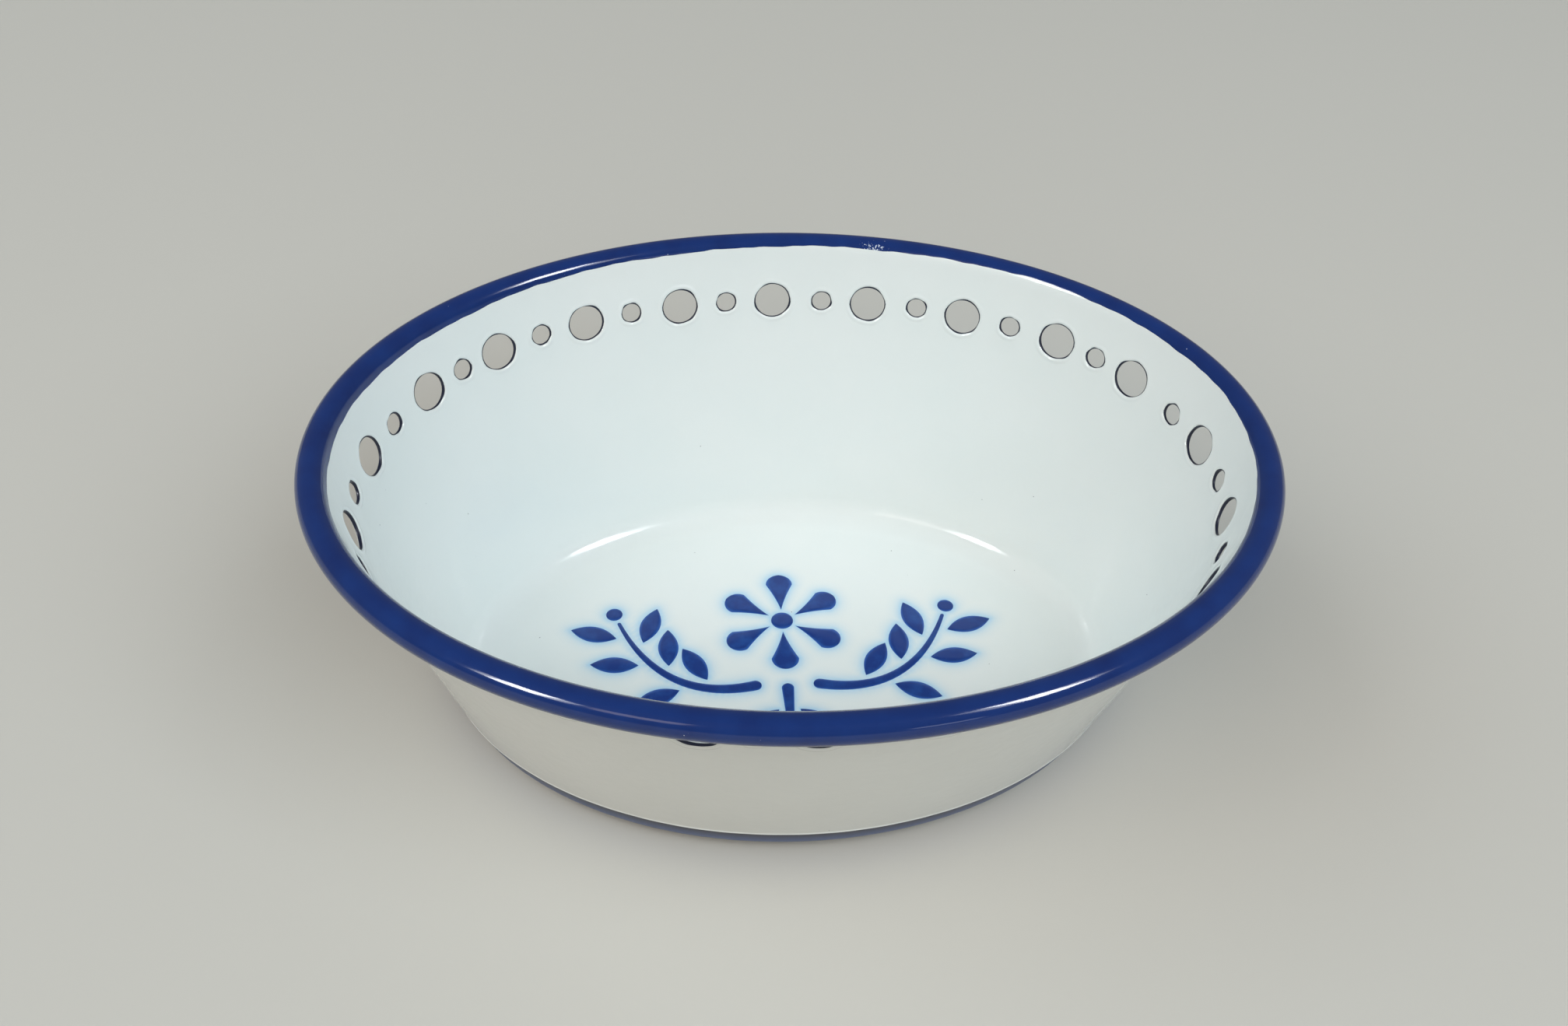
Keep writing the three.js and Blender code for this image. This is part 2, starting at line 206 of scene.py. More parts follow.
# First and last station, slip along the row and rise up the wall. Counted from the back towards -X.
PUNCH_DRIFTS = (
    (22, 22, -0.5, 2.6),
    (21, 21, -0.4, 2.1),
    (20, 20, 0.9, 0.7),
    (17, 19, -1.6, 2.4),
    (13, 16, 0, 0.5),
    (11, 12, 0.7, 0.1),
    (9, 10, -0.2, -0.5),
    (8, 8, -1.5, 0),
    (7, 7, -0.1, 0.1),
    (5, 6, 1.7, 0),
    (3, 4, 1.6, -0.6),
    (0, 2, 0.7, -1.1),
    (-2, -1, -0.2, -1.1),
    (-4, -3, -1, -0.3),
    (-5, -5, -1.6, 0.5),
    (-6, -6, -2.5, 1.1),
    (-7, -7, -1.1, 1.2),
    (-8, -8, 0.4, 1),
    (-10, -9, -2.7, -0.1),
    (-13, -11, -3.1, 0),
    (-16, -14, -2.3, 0.6),
    (-19, -17, -1, 1.6),
    (-21, -20, -0.1, 2.5),
)
ROW_STEPS = 7200


def run_along(line):
    """How far along a line each of its points lies."""
    return np.concatenate([[0], np.cumsum(np.linalg.norm(np.diff(line, axis=0), axis=1))])


hole_height = HEIGHT - HOLE_DROP
row_angle = np.linspace(-1.5 * math.pi, 2.5 * math.pi, ROW_STEPS + 1)  # two turns, the back midway
row_xy = np.stack(oval(wall_point(hole_height, SHEET / 2)[0], row_angle), axis=1)
row_run = run_along(row_xy)
row_length = row_run[-1] / 2
row_run -= row_length

stations = np.arange(HOLE_COUNT) - HOLE_COUNT // 2 + 1
hole_u = stations * row_length / HOLE_COUNT
hole_v = np.zeros(HOLE_COUNT)
for first, last, slip, rise in PUNCH_DRIFTS:
    drifted = (stations >= first) & (stations <= last)
    hole_u[drifted] += slip
    hole_v[drifted] += rise
hole_radius = np.where(stations % 2 == 0, LARGE_HOLE, SMALL_HOLE) / 2
print(f"row of {HOLE_COUNT} holes, {row_length:.0f} mm round, {row_length / HOLE_COUNT:.1f} mm apart")

# %% Cells round the holes
CELL_STEPS = 12  # mesh steps along each side of a cell
BELT_REACH = 11.5  # from the row up and down the wall to the edges of its belt
hole_end = hole_u + hole_radius
hole_start = hole_u - hole_radius
gap_start = np.roll(hole_end, 1)
gap_start[0] -= row_length
cell_edge = (gap_start + hole_start) / 2
cell_width = np.append(cell_edge[1:], cell_edge[0] + row_length) - cell_edge
ring_run = (cell_edge[:, None] + cell_width[:, None] * np.arange(CELL_STEPS) / CELL_STEPS).ravel()
ring_angle = np.interp(ring_run, row_run, row_angle)
RING = len(ring_angle)
belt_low = hole_height - BELT_REACH * math.cos(lean)
belt_high = hole_height + BELT_REACH * math.cos(lean)
print(f"{RING} points in every ring; the belt of holes is {belt_low:.1f} to {belt_high:.1f} mm up")


# %% [markdown]
# ## A helper for layered meshes
# Each coat is a closed skin: a face that shows, a face against its neighbour, and edges that join
# the two. The helper below keeps the points and faces while a skin is put together from rings, and
# then makes one Blender mesh of it.

# %% Skins made of rings
class Skin:
    """Points and faces of one closed layer, in millimetres."""

    def __init__(self):
        self.points = np.zeros((0, 3))
        self.faces = []

    def add(self, x, y, z):
        first = len(self.points)
        made = np.stack(np.broadcast_arrays(x, y, z), axis=-1).reshape(-1, 3)
        self.points = np.concatenate([self.points, made])
        return np.arange(first, first + len(made))

    def bridge(self, one, other):
        after, other_after = np.roll(one, -1), np.roll(other, -1)
        self.faces += np.stack([one, after, other_after, other], axis=1).tolist()

    def join(self, loops, other_loops):
        """Joins the two faces of a layer, loop by loop."""
        for one, other in zip(loops, other_loops):
            self.bridge(one, other)

    def ring(self, section):
        reach, z = section
        return self.add(*oval(reach, ring_angle), z)

    def rings(self, sections, start=None):
        """Adds a ring for each section, each joined to the one before, and returns the last."""
        for section in sections:
            ring = self.ring(section)
            if start is not None:
                self.bridge(start, ring)
            start = ring
        return start

    def close_floor(self, ring, z):
        """Closes a ring with triangles that meet in the middle of the floor."""
        middle = self.add(0.0, 0.0, z)
        after = np.roll(ring, -1)
        self.faces += np.stack([np.full(RING, middle[0]), ring, after], axis=1).tolist()


# %% The belt of holes in a skin
def belt_points(u, v, depth):
    """Points of the wall, by their run along the row of holes and their rise up the slope."""
    reach, z = wall_point(hole_height + v * math.cos(lean), depth)
    x, y = oval(reach, np.interp(u, row_run, row_angle))
    return x, y, z


def add_belt(skin, low, high, face_depth, lip_of):
    """Fills the wall between two rings and leaves the holes open. Returns the loop round each hole.
    lip_of gives, for a hole and the angles round it, the (radius, depth) of each loop of its lip."""
    inner_v = np.linspace(-BELT_REACH, BELT_REACH, CELL_STEPS + 1)[1:-1]
    sides = [skin.add(*belt_points(u, inner_v, face_depth)) for u in cell_edge]
    edges = []
    for k in range(HOLE_COUNT):
        along = cell_edge[k] + cell_width[k] * np.arange(CELL_STEPS + 1) / CELL_STEPS
        in_ring = np.arange(CELL_STEPS * k, CELL_STEPS * (k + 1) + 1) % RING
        next_side = sides[(k + 1) % HOLE_COUNT]
        loop = np.concatenate([low[in_ring], next_side, high[in_ring][::-1], sides[k][::-1]])
        first_u, last_u = [np.full(len(inner_v), along[end]) for end in (0, -1)]
        u = np.concatenate([along, last_u, along[::-1], first_u])
        level_v = np.full(len(along), BELT_REACH)
        v = np.concatenate([-level_v, inner_v, level_v, inner_v[::-1]])
        theta = np.arctan2(v - hole_v[k], u - hole_u[k])
        for radius, depth in lip_of(k, theta):
            at_u = hole_u[k] + radius * np.cos(theta)
            at_v = hole_v[k] + radius * np.sin(theta)
            nearer = skin.add(*belt_points(at_u, at_v, depth))
            skin.bridge(loop, nearer)
            loop = nearer
        edges.append(loop)
    return edges


def punched_radius(k, depth):
    """Radius of a hole through the steel, at a depth from the outer face."""
    return hole_radius[k] * (1 - (SHEET / 2 - depth) / PUNCH_TAPER)


# %% Meshes that replace the solids
SHARP_ANGLE = math.radians(40)


def make_piece(name, skin, *nodes, slot):
    """Turns a skin into a smooth mesh that stands for CAD nodes and rides on the bowl."""
    mesh = bpy.data.meshes.new(name)
    mesh.from_pydata((skin.points * MM).tolist(), [], skin.faces)
    shaped = bmesh.new()
    shaped.from_mesh(mesh)
    bmesh.ops.recalc_face_normals(shaped, faces=shaped.faces)
    shaped.to_mesh(mesh)
    open_edges = sum(1 for edge in shaped.edges if len(edge.link_faces) != 2)
    shaped.free()
    mesh.shade_smooth()
    mesh.set_sharp_from_angle(angle=SHARP_ANGLE)
    piece = bpy.data.objects.new(name, mesh)
    bpy.context.scene.collection.objects.link(piece)
    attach(piece, "root")
    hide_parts(*nodes)
    print(f"{name}: {len(mesh.vertices)} points, {len(mesh.polygons)} faces, {open_edges} open edges")
    return piece


# %% [markdown]
# ## The steel pressing
# Under the white there is 0.8 mm of steel with a dark ground coat. It shows at the foot, under the
# floor, inside the rolled rim and as a fine dark ring round each hole. It could stay the packed
# solid, but that has one flat facet for each hole, and a glossy coat shows every facet. So it is
# swept again in fine rings, and the punched edges get the small round that the coat leaves on them.

# %% Steel pressing
CORNER_STEPS = 14
WALL_STEPS = 12
CURL_STEPS = 40
NECK_STEPS = 3  # rings between the belt of holes and the rim
CUT_ROUND = 0.14  # round that the ground coat leaves on a punched edge
CUT_LOOPS = ((4, 0), (1, 0), (0.3, 0.3), (0, 1))  # out from the cut and down into it, in rounds
curl_reach = curl_hollow - BOND - OUTER_COAT - CURL_GAP
curl_turn = 2 * math.pi - math.acos(curl_reach / bead_radius)
curl_run = curl_turn * rim_face
neck_run = (belt_high - wall_top) / math.cos(lean)


def face_to_belt(skin, start, sections, depth, lip_of):
    """Rings up to the belt of holes, and the belt itself. Returns its loops and its top ring."""
    low = skin.rings(sections, start)
    high = skin.ring(wall_point(belt_high, depth))
    return add_belt(skin, low, high, depth, lip_of), high


def floor_and_belt(skin, depth, lip_of, floor_steps=1):
    """A face from the middle of the floor up to the top of the belt of holes."""
    flat = [(floor_edge * share, depth) for share in np.linspace(0, 1, floor_steps + 1)[1:]]
    bend = [corner_point(share, depth) for share in np.linspace(0, 1, CORNER_STEPS)[1:]]
    wall = [wall_point(height, depth) for height in np.linspace(wall_foot, belt_low, WALL_STEPS)[1:]]
    first = skin.ring(flat[0])
    skin.close_floor(first, depth)
    return face_to_belt(skin, first, flat[1:] + bend + wall, depth, lip_of)


def punched_lip(face_depth, into_sheet):
    """Loops round a hole in the steel: flat, then rounded over into the cut."""

    def lip_of(k, theta):
        for out, down in CUT_LOOPS:
            depth = face_depth + into_sheet * down * CUT_ROUND
            yield punched_radius(k, depth) + out * CUT_ROUND, depth

    return lip_of


def pressed_face(skin, depth, into_sheet):
    """One face of the sheet, from the floor to the rolled-in end. Returns its open loops."""
    holes, high = floor_and_belt(skin, depth, punched_lip(depth, into_sheet))
    neck = np.linspace(neck_run, 0, NECK_STEPS)[1:]
    curl = np.linspace(0, curl_run, CURL_STEPS)[1:]
    return holes + [skin.rings([rim_point(run, depth) for run in (*neck, *curl)], high)]


skin = Skin()
skin.join(pressed_face(skin, SHEET, -1), pressed_face(skin, 0, 1))
body_piece = make_piece("steel_pressing", skin, "body", slot="ground_coated_steel")

# %% [markdown]
# ## Unsteady edges
# Enamel is sprayed, wiped and brushed by hand, so none of its edges is a true curve. A few waves of
# different lengths, each going a whole number of times round the bowl, give an edge that wanders
# and still closes. The seed is fixed, so every run draws the same bowl.

# %% Hand-drawn wander
SEED = 1899
rng = np.random.default_rng(SEED)


def wander(waves):
    """A height for each point of a ring, as a sum of (wavelength, height) waves, in millimetres."""
    total = np.zeros(RING)
    for wavelength, height in waves:
        turns = round(row_length / wavelength)
        total += height * np.sin(2 * math.pi * turns * ring_run / row_length + rng.uniform(0, 2 * math.pi))
    return total


def ripple(theta, phases):
    """A value of about -1 to 1 round a hole. There is one phase for each number of waves, from 2 up."""
    waves = [np.sin((n + 2) * theta + phase) / (n + 1) ** 0.5 for n, phase in enumerate(phases)]
    return sum(waves) / 2


HOLE_WAVES = 7
EXAMPLE_WAVES = ((40, 0.1), (13, 0.05))
hole_phases = rng.uniform(0, 2 * math.pi, (2, HOLE_COUNT, HOLE_WAVES))
print("wander of a ring:", np.round(wander(EXAMPLE_WAVES).std(), 3), "mm")

# %% [markdown]
# ## The lips of the white coats
# Round each hole the white glass draws back from the sharp steel edge and leaves a fine dark ring.
# Surface tension swells it into a low bead, and as the bowl is fired standing up, more of it hangs
# at the bottom of the hole, where it hides most of the ring. Both white coats use the same lip,
# drawn as a short run of loops that roll over and end on the steel.

# %% Lips of enamel
LIP_BEAD = 0.09  # how far the bead stands above the coat
LIP_POOL = 1.2  # how much more of it hangs at the bottom of a hole
# Shares of the bare ring: its usual width, what it wavers by, what the hanging glass hides of it,
# and the least and the most that shows.
BARE_USUAL, BARE_WAVER, BARE_HIDDEN = 0.85, 0.4, 0.7
BARE_LEAST, BARE_MOST = 0.1, 1.5
# Distance out from the coat's edge, share of the coat's thickness and share of the bead.
LIP_LOOPS = (
    (1.8, 1.0, 0.0),
    (1.4, 1.0, 0.2),
    (1.05, 1.0, 0.7),
    (0.75, 1.0, 1.0),
    (0.45, 0.97, 0.85),
    (0.25, 0.85, 0.55),
    (0.12, 0.62, 0.25),
    (0.04, 0.35, 0.05),
    (0.0, 0.0, 0.0),
)
HIDDEN_LIP = LIP_LOOPS[-1:]  # the face against the steel only needs the edge itself


def coat_edge(k, theta, side):
    """How far the coat draws back from a hole's edge. Side 0 is the inside of the bowl."""
    hanging = np.maximum(0, -np.sin(theta)) ** 2
    wobble = ripple(theta, hole_phases[side, k])
    bare = BARE_USUAL + BARE_WAVER * wobble - BARE_HIDDEN * hanging
    return HOLE_BARE * np.clip(bare, BARE_LEAST, BARE_MOST)


def enamel_lip(steel_depth, outwards, thickness, side, loops):
    """Loops of a coat round a hole. Outwards is 1 for a coat inside the bowl and -1 for one outside."""

    def lip_of(k, theta):
        drawn_back = punched_radius(k, steel_depth) + coat_edge(k, theta, side)
        pooled = 1 + LIP_POOL * np.maximum(0, -np.sin(theta))
        for out, thick, bead in loops:
            lift = BOND + thickness * thick + LIP_BEAD * bead * pooled
            yield drawn_back + out, steel_depth + outwards * lift

    return lip_of


# %% [markdown]
# ## The blue line on the rim
# The blue was brushed on over the white, free hand. Its lower edge wanders by a few tenths of a
# millimetre, sags down the wall at one end of the bowl and rides high at the back. The white lining
# runs on under the blue, so its own edge stays hidden.

# %% Where the blue starts
PAINT_START = 0.4  # run past the start of the curl
PAINT_WANDER = ((160, 0.12), (75, 0.14), (33, 0.12), (14, 0.08), (8, 0.06), (5, 0.035))
# Middle station, spread in stations and height of the slow strays.
PAINT_STRAYS = ((9.5, 6, -1.8), (-4.5, 5, 1.0))
UNDERLAP = 0.9  # how far the lining runs on under the blue
paint_run = PAINT_START + wander(PAINT_WANDER)
for station, spread, height in PAINT_STRAYS:
    pitch = row_length / HOLE_COUNT
    apart = (ring_run / pitch - station + HOLE_COUNT / 2) % HOLE_COUNT - HOLE_COUNT / 2
    paint_run += height * np.exp(-((apart / spread) ** 2))
print(f"the blue starts {paint_run.min():.2f} to {paint_run.max():.2f} mm past the start of the curl")

# %% [markdown]
# ## The white lining
# This is the face that fills the picture. Its floor has a ring for each millimetre, because the
# painted sprig will bleed into it later as a value on its points. The bend and the wall only need
# enough rings to shine smoothly.

# %% White lining
FLOOR_STEPS = 56
LINING_SHARES = (0.3, 0.6, 0.8, 0.9, 1)  # rings from the belt of holes to the hidden edge
floor_top = lining_face

skin = Skin()
lining_end = paint_run + UNDERLAP
to_edge = [neck_run + (lining_end - neck_run) * share for share in LINING_SHARES]
faces = []
for depth, loops, floor_steps, runs in (
    (lining_face, LIP_LOOPS, FLOOR_STEPS, to_edge),
    (SHEET + BOND, HIDDEN_LIP, 1, [np.zeros(RING), lining_end]),
):
    holes, high = floor_and_belt(skin, depth, enamel_lip(SHEET, 1, LINING, 0, loops), floor_steps)
    faces.append(holes + [skin.rings([rim_point(run, depth) for run in runs], high)])
skin.join(*faces)
lining_piece = make_piece("white_lining_enamel", skin, "white_lining", slot="white_enamel")

# %% [markdown]
# ## The white outer coat
# Outside, the white stops above the foot, where the bowl stood on its firing rack. It ends in a
# swollen edge along a line that is almost true, and under the rim it runs up into the curl.

# %% White outer coat
FOOT_WANDER = ((120, 0.1), (45, 0.07), (12, 0.04))
# Height above the foot line and share of the coat's thickness, over its swollen edge.
FOOT_ROLL = (
    (0.0, 0.0),
    (0.04, 0.45),
    (0.12, 0.9),
    (0.25, 1.35),
    (0.45, 1.7),
    (0.65, 1.7),
    (0.9, 1.4),
    (1.2, 1.1),
    (1.6, 1.0),
)
PLAIN_FROM = 2  # height above the foot band at which the plain coat starts
coat_top = bead_z - curl_hollow
foot_line = FOOT_BAND + wander(FOOT_WANDER)

skin = Skin()
rolled = [wall_point(foot_line + up_wall, -BOND - OUTER_COAT * share) for up_wall, share in FOOT_ROLL]
foot = skin.ring(rolled[0])
climb = np.linspace(FOOT_BAND + PLAIN_FROM, belt_low, WALL_STEPS)
faces = []
for depth, loops, edge in ((-BOND - OUTER_COAT, LIP_LOOPS, rolled[1:]), (-BOND, HIDDEN_LIP, [])):
    sections = edge + [wall_point(height, depth) for height in climb]
    lip_of = enamel_lip(0, -1, OUTER_COAT, 1, loops)
    holes, high = face_to_belt(skin, foot, sections, depth, lip_of)
    faces.append(holes + [skin.rings([wall_point(coat_top, depth)], high)])
skin.join(*faces)
outer_piece = make_piece("white_outer_enamel", skin, "white_outer_coat", slot="white_enamel")

# %% [markdown]
# ## The blue edging
# The blue goes from its wandering line over the rolled rim and round to the underside. It is a thin
# skin whose rings all follow the wandering line at first and even out over the top of the roll.
# Its edge thins out to almost nothing, as a brushed edge does.

# %% Blue edging
edging_face = SHEET + BOND + EDGING
edging_end = curl_run - EDGING_BACK * rim_face / bead_radius
# Run past the blue line and share of the edging's thickness over the lining.
EDGE_FEATHER = ((0.0, 0.1), (0.06, 0.45), (0.16, 0.75), (0.35, 0.93), (0.7, 1.0))
SINK_FROM = 0.2  # run past the lining's hidden edge at which the edging starts to sink
SEAT_RUN = 2.2  # run past the blue line by which it sits on the steel
EDGING_STEPS = 44

skin = Skin()
over_lining = lining_face + PAINT_BOND
feather = [
    rim_point(paint_run + run, over_lining + (edging_face - over_lining) * share)
    for run, share in EDGE_FEATHER
]
last_feather = paint_run + EDGE_FEATHER[-1][0]
first = skin.ring(feather[0])
shares = np.linspace(0, 1, EDGING_STEPS)[1:]
onwards = edging_end - last_feather
over_rim = [rim_point(last_feather + onwards * share, edging_face) for share in shares]
end = skin.rings(feather[1:] + over_rim, first)
under = [rim_point(paint_run + UNDERLAP + SINK_FROM, over_lining)]
seated = paint_run + SEAT_RUN
under += [rim_point(seated + (edging_end - seated) * share, SHEET + BOND) for share in (0, *shares)]
skin.bridge(end, skin.rings(under, first))
edging_piece = make_piece("blue_rim_enamel", skin, "rim_edging", slot="blue_rim_enamel")

# %% [markdown]
# ## The painted sprig
# A flower with a branch to each side is painted on the floor. Each stroke of the brush is its own
# piece, a low cushion of blue glass. One recipe makes them all: a middle line, a half width along
# it that closes to nothing at both ends, and a cross-section with a soft crown.

# %% Strokes of paint
STROKE = 0.12  # how far a stroke stands above the floor
STROKE_FULL = 4 * STROKE  # half width from which a stroke reaches that height
STROKE_STEPS = 40
CROSS_STEPS = 8
painted = []


def round_spacing(count):
    """Shares from 0 to 1 that crowd together at both ends, where strokes are round."""
    return (1 - np.cos(np.linspace(0, math.pi, count + 1))) / 2


def directions(line):
    """Unit vectors along a line of points."""
    ahead = np.gradient(line, axis=0)
    return ahead / np.linalg.norm(ahead, axis=1)[:, None]


def add_stroke(node, middle, half_width):
    """Paints one stroke over a CAD node. Middle is a list of XY points, half_width their widths."""
    direction = directions(middle)
    sideways = np.stack([-direction[:, 1], direction[:, 0]], axis=1)
    across = np.linspace(-1, 1, CROSS_STEPS + 1)
    inner = slice(1, -1)
    xy = middle[inner, None] + sideways[inner, None] * (half_width[inner, None] * across)[..., None]
    low = floor_top + PAINT_BOND
    crown = 1 - across**4
    full = np.minimum(1, half_width[inner] / STROKE_FULL)
    z = low + STROKE * crown * full[:, None]
    skin = Skin()
    grid = skin.add(xy[..., 0], xy[..., 1], z).reshape(z.shape)
    start = skin.add(*middle[0], low)[0]
    end = skin.add(*middle[-1], low)[0]
    quads = np.stack([grid[:-1, :-1], grid[1:, :-1], grid[1:, 1:], grid[:-1, 1:]], axis=-1)
    under = np.stack([grid[:-1, 0], grid[:-1, -1], grid[1:, -1], grid[1:, 0]], axis=-1)
    skin.faces += quads.reshape(-1, 4).tolist() + under.tolist()
    for tip, row in ((start, grid[0]), (end, grid[-1])):
        skin.faces += [[tip, a, b] for a, b in zip(row[:-1], row[1:])] + [[tip, row[0], row[-1]]]
    painted.append(make_piece(f"painted_{node}", skin, node, slot="blue_painted_enamel"))


# %% Outlines of the strokes
PETAL_LENGTH, PETAL_WIDTH, PETAL_WAIST = 15.5, 8.6, 1 / 3
LEAF_LENGTH, LEAF_WIDTH = 15, 6.4
stroke_share = round_spacing(STROKE_STEPS)


def placed(x, at, angle):
    """Points along a straight middle line that starts at a place and runs at an angle."""
    return np.stack([at[0] + x * math.cos(angle), at[1] + x * math.sin(angle)], axis=1)


def paint_leaf(node, at, angle):
    half = LEAF_WIDTH * 2 * stroke_share * (1 - stroke_share)
    add_stroke(node, placed(LEAF_LENGTH * stroke_share, at, angle), half)


def paint_petal(node, at, angle):
    half = PETAL_WIDTH / 2
    bulge = PETAL_LENGTH - half
    x = PETAL_LENGTH * stroke_share
    s = np.minimum(x / bulge, 1)
    pointed = 2 * s * (1 - s) * half * PETAL_WAIST + s**2 * half
    rounded = np.sqrt(np.maximum(0, half**2 - (x - bulge) ** 2))
    add_stroke(node, placed(x, at, angle), np.where(x < bulge, pointed, rounded))


def paint_dot(node, at, diameter):
    x = diameter * (stroke_share - 0.5)
    add_stroke(node, placed(x, at, 0), np.sqrt(np.maximum(0, diameter**2 / 4 - x**2)))


BRANCH_WIDTH = 4
BRANCH_TAPER = 0.7  # share of its width that a branch loses by its end


def paint_tapered(node, line):
    """A stroke along a line of points, broad and round at its start and fine at its end."""
    run = run_along(line)
    at = stroke_share * run[-1]
    middle = np.stack([np.interp(at, run, line[:, axis]) for axis in (0, 1)], axis=1)
    half = BRANCH_WIDTH / 2 * (1 - BRANCH_TAPER * stroke_share)
    from_end = np.minimum(at, run[-1] - at)
    closing = np.minimum(from_end / half, 1)
    add_stroke(node, middle, half * np.sqrt(closing * (2 - closing)))


# %% Flower
FLOWER_AT = (0, 17)
FLOWER_EYE = 7
PETAL_COUNT = 6
STROKE_GAP = 1.2  # bare white between neighbouring strokes
paint_dot("flower_eye", FLOWER_AT, FLOWER_EYE)
petal_reach = FLOWER_EYE / 2 + STROKE_GAP
for i in range(PETAL_COUNT):
    angle = 2 * math.pi * (i + 0.5) / PETAL_COUNT
    foot = placed(np.array([petal_reach]), FLOWER_AT, angle)[0]
    paint_petal(f"flower_petal_{i + 1}", foot, angle)
print("flower:", PETAL_COUNT, "petals")

# %% Branches and stalk
BRANCH_START, BRANCH_BEND, BRANCH_END = (8, -9), (38, -17), (52, 18)
LEAF_ANGLE = math.radians(48)  # between a leaf and its branch
LEAVES = {"above": (0.3, 0.56, 0.8), "below": (0.42, 0.68, 0.9)}  # shares of the branch's length
BERRY = 5.2
LINE_POINTS = 200
leaf_aside = BRANCH_WIDTH / 2 + STROKE_GAP


def paint_branch(label, sideways):
    """One branch with its leaves and berry. Sideways is 1 on the right and -1 on the left."""
    t = np.linspace(0, 1, LINE_POINTS)[:, None]
    bends = [np.array([sideways * x, y]) for x, y in (BRANCH_START, BRANCH_BEND, BRANCH_END)]
    line = bends[0] * (1 - t) ** 2 + bends[1] * 2 * t * (1 - t) + bends[2] * t**2
    paint_tapered(f"branch_{label}", line)
    run = run_along(line)
    tangent = directions(line)
    for row, turn in (("above", sideways), ("below", -sideways)):
        for i, at in enumerate(LEAVES[row]):
            nearest = np.argmin(abs(run - at * run[-1]))
            ahead = tangent[nearest]
            foot = line[nearest] + turn * leaf_aside * np.array([-ahead[1], ahead[0]])
            angle = math.atan2(ahead[1], ahead[0]) + turn * LEAF_ANGLE
            paint_leaf(f"leaf_{label}_{row}_{i + 1}", foot, angle)
    paint_dot(f"berry_{label}", line[-1] + tangent[-1] * (BERRY / 2 + STROKE_GAP), BERRY)


SIDES = {"right": 1, "left": -1}
for label, sideways in SIDES.items():
    paint_branch(label, sideways)

STALK_LENGTH = 24
STALK_LEAF_AT = 0.42  # share of the stalk's length
stalk_y = np.linspace(BRANCH_START[1], BRANCH_START[1] - STALK_LENGTH, LINE_POINTS)
paint_tapered("stalk", np.stack([np.zeros(LINE_POINTS), stalk_y], axis=1))
stalk_leaf_y = BRANCH_START[1] - STALK_LENGTH * STALK_LEAF_AT
for label, sideways in SIDES.items():
    angle = -math.pi / 2 + sideways * LEAF_ANGLE
    paint_leaf(f"stalk_leaf_{label}", (sideways * leaf_aside, stalk_leaf_y), angle)
print("strokes on the floor:", len(painted))

# %% [markdown]
# ## Blue that bleeds into the white
# When the painted blue is fired, a little of it runs out into the glass around it as a soft pale
# halo. A shader can't measure how far a point is from a stroke, so the distance is measured here and
# kept on the lining's points as a value called bleed, from 1 beside a stroke to 0 on clean white.

# %% Measure the bleed
BLEED_REACH = 1.5  # distance at which the halo has faded to about a third
BLEED_FAINT = 0.02  # bleed that no longer shows
FLOOR_SLACK = 0.1  # a point this close to the floor's height lies on the floor
stroke_points = [v.co for piece in painted for v in piece.data.vertices]
nearest_stroke = KDTree(len(stroke_points))
for i, point in enumerate(stroke_points):
    nearest_stroke.insert(point, i)
nearest_stroke.balance()
lining_mesh = lining_piece.data
bleed = np.zeros(len(lining_mesh.vertices))
for vertex in lining_mesh.vertices:
    if abs(vertex.co.z - floor_top * MM) < FLOOR_SLACK * MM:
        distance = nearest_stroke.find(vertex.co)[2] / MM
        bleed[vertex.index] = math.exp(-distance / BLEED_REACH)
lining_mesh.attributes.new("bleed", "FLOAT", "POINT").data.foreach_set("value", bleed)
print("points of the lining that the blue reaches:", int((bleed > BLEED_FAINT).sum()))

# %% [markdown]
# ## Materials
# All four finishes are the same stuff: glass with colour in it, fused to steel at about 800 degrees.
# Glass has an IOR of about 1.5 and fires to a smooth skin, so the roughness is low everywhere and
# the look comes from colour, small faults and a faint waviness. Colours are written as sRGB hex
# values and turned to linear by one function. Another small function adds a node with its settings
# and its links, so that each material reads as a list of nodes.

# %% Colours and nodes
def linear(hex_colour):
    """An sRGB hex colour as the linear RGBA that shaders use."""
    channels = [int(hex_colour[i : i + 2], 16) / 255 for i in (1, 3, 5)]
    return [c / 12.92 if c <= 0.04045 else ((c + 0.055) / 1.055) ** 2.4 for c in channels] + [1.0]


def add_node(tree, kind, inputs, **settings):
    """Adds a node. An input is a value for its socket, or another node's output to link there."""
    node = tree.nodes.new(kind)
    for name, value in settings.items():
        setattr(node, name, value)
    for socket, value in inputs.items():
        if isinstance(value, bpy.types.NodeSocket):
            tree.links.new(value, node.inputs[socket])
        else:
            node.inputs[socket].default_value = value
    return node


def new_material(name):
    """An empty node material, its tree and the object coordinates that its patterns use, in metres."""
    material = bpy.data.materials.new(name)
    material.use_nodes = True
    tree = material.node_tree
    tree.nodes.clear()
    place = add_node(tree, "ShaderNodeTexCoord", {}).outputs["Object"]
    return material, tree, place


def per_metre(millimetres):
    """Scale of a noise or Voronoi pattern whose features are that many millimetres across."""
    return 1 / (millimetres * MM)


MIX_SHARE, MIX_FIRST, MIX_SECOND, MIX_COLOUR = 0, 6, 7, 2  # sockets of a Mix node for colours
print("mid grey in linear light:", round(linear("#808080")[0], 3))

# %% [markdown]
# ### Steps that the finishes share
# A coat of uneven thickness gets patches of two colours from a slow noise. A spot is where the surface
# happens to cut close to the middle of a Voronoi cell. Some colours change with the height on the
# bowl. Each finish ends in a shader of smooth glass.

# %% Shared steps
ENAMEL_IOR = 1.52
FIRED_ROUGHNESS = 0.1
SPOT_CORE = 0.5  # share of a spot's radius inside which it is full


